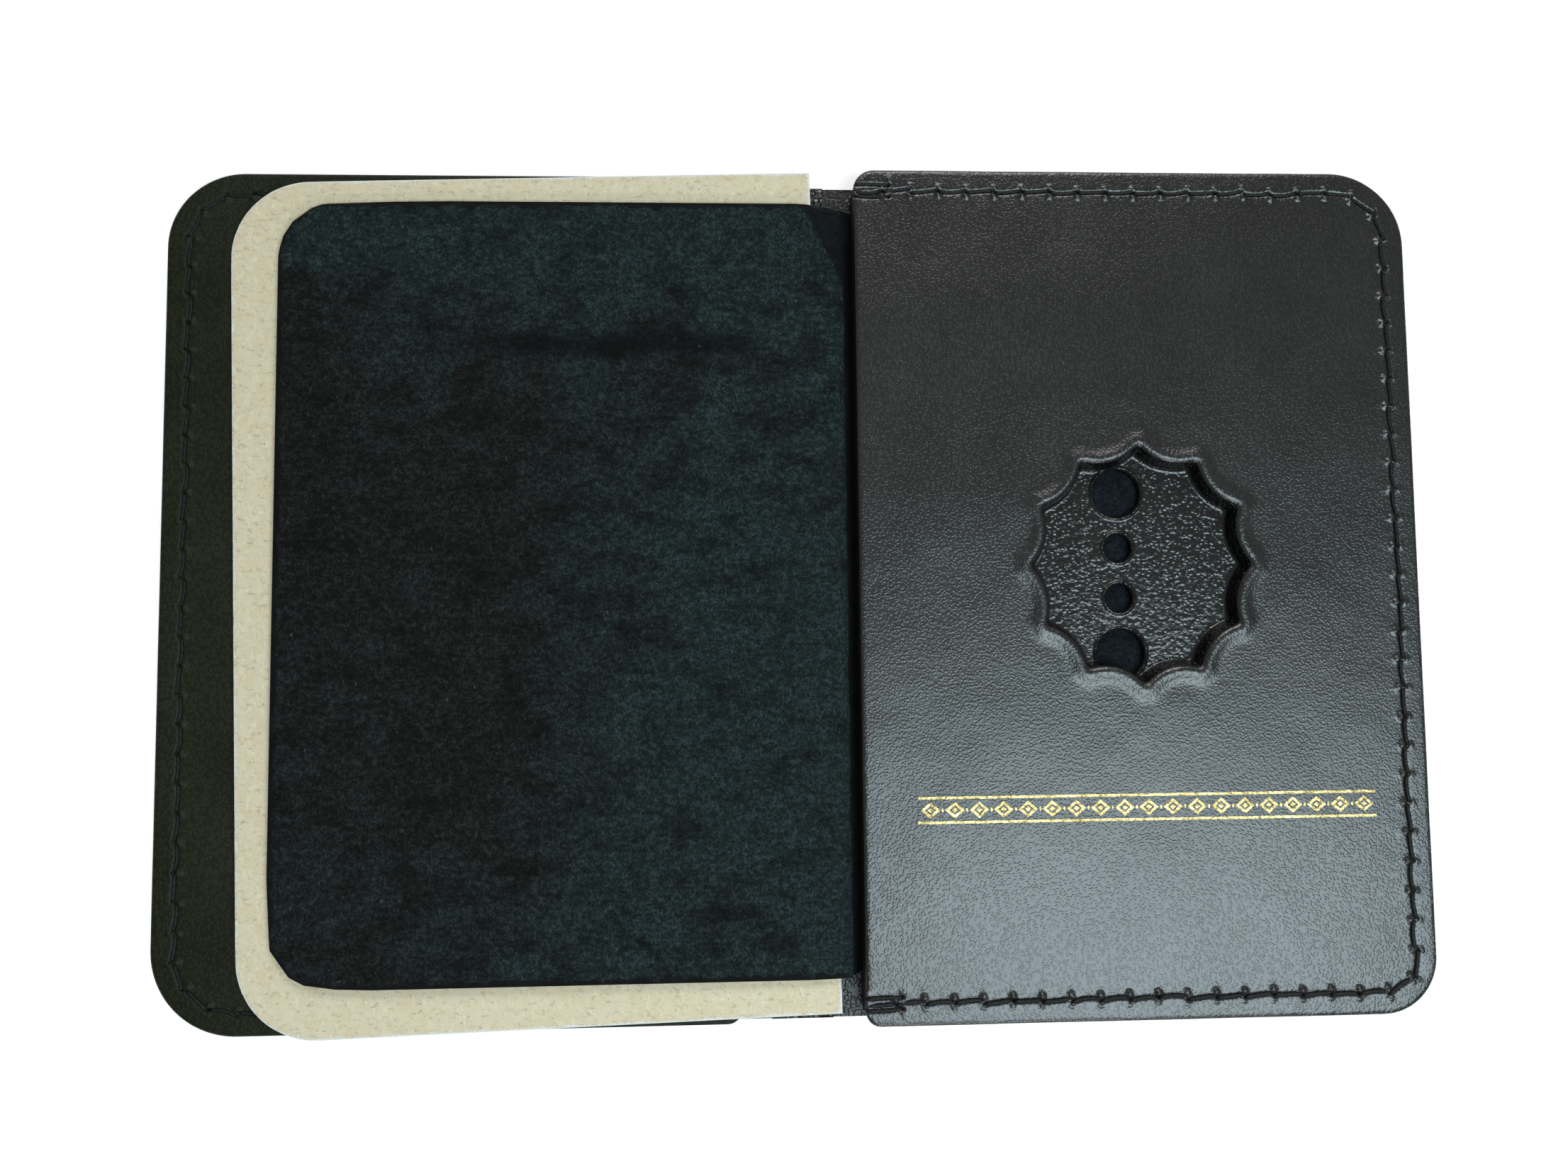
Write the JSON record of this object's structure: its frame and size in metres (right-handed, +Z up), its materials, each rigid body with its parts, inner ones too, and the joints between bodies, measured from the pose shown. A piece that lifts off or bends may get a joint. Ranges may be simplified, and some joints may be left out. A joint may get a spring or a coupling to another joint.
{
  "type": "id badge wallet",
  "caption": "Bifold leather wallet lying open: stitched badge leaf with a scalloped recess, card window leaf, suede flap and a loose chipboard insert.",
  "frame": {"origin": "on the table, on the outer face of the spine, midway between the two leaves and at half the leaves' height", "axes": "+X from the spine to the badge leaf's outer edge, +Y to the top edge, +Z up from the table, out of the open wallet"},
  "size_m": [0.158, 0.1076, 0.0058],
  "materials": {
    "shell_leather": "black grained leather, satin",
    "panel_leather": "black pebbled leather, semi-gloss",
    "frame_leather": "black fine-grained leather, satin",
    "lining_leather": "black smooth thin leather",
    "suede": "blue-black suede, matte with nap",
    "stiffener_board": "dense fibreboard",
    "chipboard": "warm grey chipboard with fibres",
    "clear_vinyl": "clear flexible sheet",
    "thread": "waxed twisted black thread"
  },
  "bodies": {
    "badge_cover": {"shell_right": "shell_leather", "pocket_lining": "suede", "badge_board": "stiffener_board", "badge_panel": "panel_leather", "badge_stitching": "thread", "badge_back_tacks": "thread", "badge_stitching_outer": "thread", "flap_root": "suede"},
    "spine": {"shell_spine": "shell_leather", "spine_lining": "lining_leather"},
    "strip": {"crease_strip": "shell_leather"},
    "card_cover": {"shell_left": "shell_leather", "card_liner": "lining_leather", "id_window": "clear_vinyl", "window_frame": "frame_leather", "card_stitching": "thread", "card_back_tacks": "thread", "card_stitching_outer": "thread"},
    "flap": {"flap": "suede"},
    "insert": {"chipboard_insert": "chipboard"}
  },
  "joints": [
    {"name": "flap_turn", "type": "hinge", "parent": "badge_cover", "child": "flap", "pos_m": [0.0066, 0, 0.00553], "axis": [0, 1, 0], "range_deg": [0, 180], "deforming": ["flap_root"]},
    {"name": "close_crease_right", "type": "hinge", "parent": "badge_cover", "child": "spine", "pos_m": [0.00492, 0, 0.0006], "axis": [0, 1, 0], "range_deg": [0, 90]},
    {"name": "close_crease_left", "type": "hinge", "parent": "spine", "child": "strip", "pos_m": [-0.00492, 0, 0.0006], "axis": [0, 1, 0], "range_deg": [0, 90]},
    {"name": "cover_open", "type": "hinge", "parent": "strip", "child": "card_cover", "pos_m": [-0.00692, 0, -0.0001], "axis": [0, -1, 0], "range_deg": [0, 180]},
    {"name": "insert_slide", "type": "slide", "parent": "flap", "child": "insert", "axis": [-1, 0, 0], "range_m": [0, 0.09]}
  ],
  "couplings": [
    {"joint": "close_crease_right", "follows": "flap_turn", "ratio": 0.5},
    {"joint": "close_crease_left", "follows": "flap_turn", "ratio": 0.5}
  ]
}
